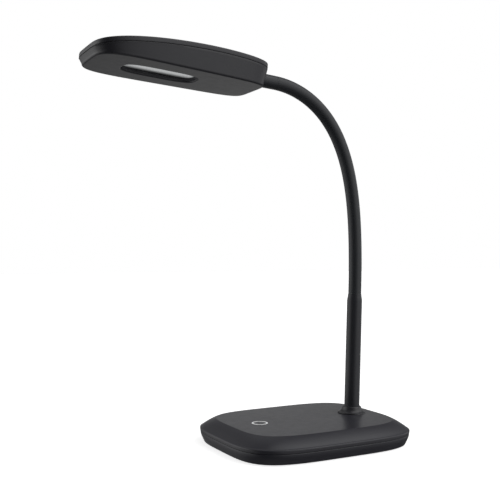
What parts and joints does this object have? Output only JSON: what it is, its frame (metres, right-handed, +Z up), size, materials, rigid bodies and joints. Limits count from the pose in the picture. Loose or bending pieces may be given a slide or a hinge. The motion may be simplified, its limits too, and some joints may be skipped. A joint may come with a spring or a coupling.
{
  "type": "gooseneck desk lamp",
  "caption": "Free-standing desk lamp: weighted base with a touch switch, short rigid stem, flexible neck and a flat head with a lit window underneath.",
  "frame": {"origin": "on the table, under the middle of the base", "axes": "+Z up; the head reaches towards -X and the stem stands at +X; the lamp is mirror-symmetric about Y = 0"},
  "size_m": [0.296, 0.1424, 0.3487],
  "materials": {
    "base_moulding": "fine matt texture, dark charcoal",
    "head_moulding": "fine matt texture, dark charcoal",
    "collar_moulding": "matt black",
    "satin_tube": "satin black paint",
    "neck_sleeve": "matt black soft sleeve",
    "pad_rubber": "ribbed black rubber",
    "plated_steel": "zinc plated",
    "bare_steel": "oiled steel",
    "white_guide": "clear white light guide",
    "foam": "conductive foam",
    "green_board": "green solder mask",
    "white_board": "white solder mask",
    "black_parts": "black moulded parts",
    "brass_pin": "bright",
    "black_lead": "matt insulation",
    "white_lead": "matt insulation",
    "led_lens": "clear lens over yellow phosphor",
    "frosted": "frosted white diffuser",
    "spreader_metal": "milled"
  },
  "bodies": {
    "base": {"base_cover": "base_moulding", "base_pan": "base_moulding", "foot_pad": "pad_rubber", "ballast_plate": "bare_steel", "ballast_screws": "plated_steel", "pan_screws": "plated_steel", "touch_ring": "white_guide", "touch_pad": "foam", "control_board": "green_board", "board_parts": "black_parts", "board_screws": "plated_steel", "ring_leds": "led_lens", "power_jack": "black_parts", "jack_pin": "brass_pin", "jack_lead": "black_lead", "stem_collar": "collar_moulding", "stem_tube": "satin_tube", "stem_plug": "plated_steel", "stem_washer": "plated_steel", "stem_nut": "plated_steel", "neck_root_socket": "bare_steel", "lamp_lead": "white_lead"},
    "link_1": {"neck_core_1": "bare_steel", "neck_sleeve_1": "neck_sleeve"},
    "link_2": {"neck_core_2": "bare_steel", "neck_sleeve_2": "neck_sleeve"},
    "link_3": {"neck_core_3": "bare_steel", "neck_sleeve_3": "neck_sleeve"},
    "link_4": {"neck_core_4": "bare_steel", "neck_sleeve_4": "neck_sleeve"},
    "link_5": {"neck_core_5": "bare_steel", "neck_sleeve_5": "neck_sleeve"},
    "link_6": {"neck_core_6": "bare_steel", "neck_sleeve_6": "neck_sleeve"},
    "link_7": {"neck_core_7": "bare_steel", "neck_sleeve_7": "neck_sleeve"},
    "link_8": {"neck_core_8": "bare_steel", "neck_sleeve_8": "neck_sleeve"},
    "link_9": {"neck_core_9": "bare_steel", "neck_sleeve_9": "neck_sleeve"},
    "link_10": {"neck_core_10": "bare_steel", "neck_sleeve_10": "neck_sleeve"},
    "link_11": {"neck_core_11": "bare_steel", "neck_sleeve_11": "neck_sleeve"},
    "head": {"neck_end_sleeve": "neck_sleeve", "neck_end_ball": "bare_steel", "head_tray": "head_moulding", "head_cover": "head_moulding", "diffuser": "frosted", "reflector": "white_board", "led_board": "white_board", "leds": "led_lens", "lead_plug_block": "black_parts", "heat_spreader": "spreader_metal", "spreader_screws": "plated_steel", "neck_clamp": "plated_steel", "clamp_screws": "plated_steel"}
  },
  "joints": [
    {"name": "neck_1_side", "type": "hinge", "parent": "base", "child": "link_1", "pos_m": [0.05821, 0, 0.13695], "axis": [0.9995, 0, -0.0332], "range_deg": [-12, 12], "deforming": ["lamp_lead"]},
    {"name": "neck_2_fore", "type": "hinge", "parent": "link_1", "child": "link_2", "pos_m": [0.0587, 0, 0.15855], "axis": [0, -1, 0], "range_deg": [-15, 10], "deforming": ["lamp_lead"]},
    {"name": "neck_3_side", "type": "hinge", "parent": "link_2", "child": "link_3", "pos_m": [0.05866, 0, 0.18015], "axis": [0.9999, 0, 0.0154], "range_deg": [-12, 12], "deforming": ["lamp_lead"]},
    {"name": "neck_4_fore", "type": "hinge", "parent": "link_3", "child": "link_4", "pos_m": [0.05789, 0, 0.20173], "axis": [0, -1, 0], "range_deg": [-15, 10], "deforming": ["lamp_lead"]},
    {"name": "neck_5_side", "type": "hinge", "parent": "link_4", "child": "link_5", "pos_m": [0.05604, 0, 0.22325], "axis": [0.9933, 0, 0.1159], "range_deg": [-12, 12], "deforming": ["lamp_lead"]},
    {"name": "neck_6_fore", "type": "hinge", "parent": "link_5", "child": "link_6", "pos_m": [0.05258, 0, 0.24456], "axis": [0, -1, 0], "range_deg": [-15, 10], "deforming": ["lamp_lead"]},
    {"name": "neck_7_side", "type": "hinge", "parent": "link_6", "child": "link_7", "pos_m": [0.04686, 0, 0.26538], "axis": [0.9456, 0, 0.3253], "range_deg": [-12, 12], "deforming": ["lamp_lead"]},
    {"name": "neck_8_fore", "type": "hinge", "parent": "link_7", "child": "link_8", "pos_m": [0.03812, 0, 0.2851], "axis": [0, -1, 0], "range_deg": [-15, 10], "deforming": ["lamp_lead"]},
    {"name": "neck_9_side", "type": "hinge", "parent": "link_8", "child": "link_9", "pos_m": [0.02567, 0, 0.3027], "axis": [0.7462, 0, 0.6657], "range_deg": [-12, 12], "deforming": ["lamp_lead"]},
    {"name": "neck_10_fore", "type": "hinge", "parent": "link_9", "child": "link_10", "pos_m": [0.0094, 0, 0.31681], "axis": [0, -1, 0], "range_deg": [-15, 10], "deforming": ["lamp_lead"]},
    {"name": "neck_11_side", "type": "hinge", "parent": "link_10", "child": "link_11", "pos_m": [-0.00992, 0, 0.32633], "axis": [0.3237, 0, 0.9462], "range_deg": [-12, 12], "deforming": ["lamp_lead"]},
    {"name": "neck_12_fore", "type": "hinge", "parent": "link_11", "child": "head", "pos_m": [-0.03103, 0, 0.33064], "axis": [0, -1, 0], "range_deg": [-15, 10], "deforming": ["lamp_lead"]}
  ]
}
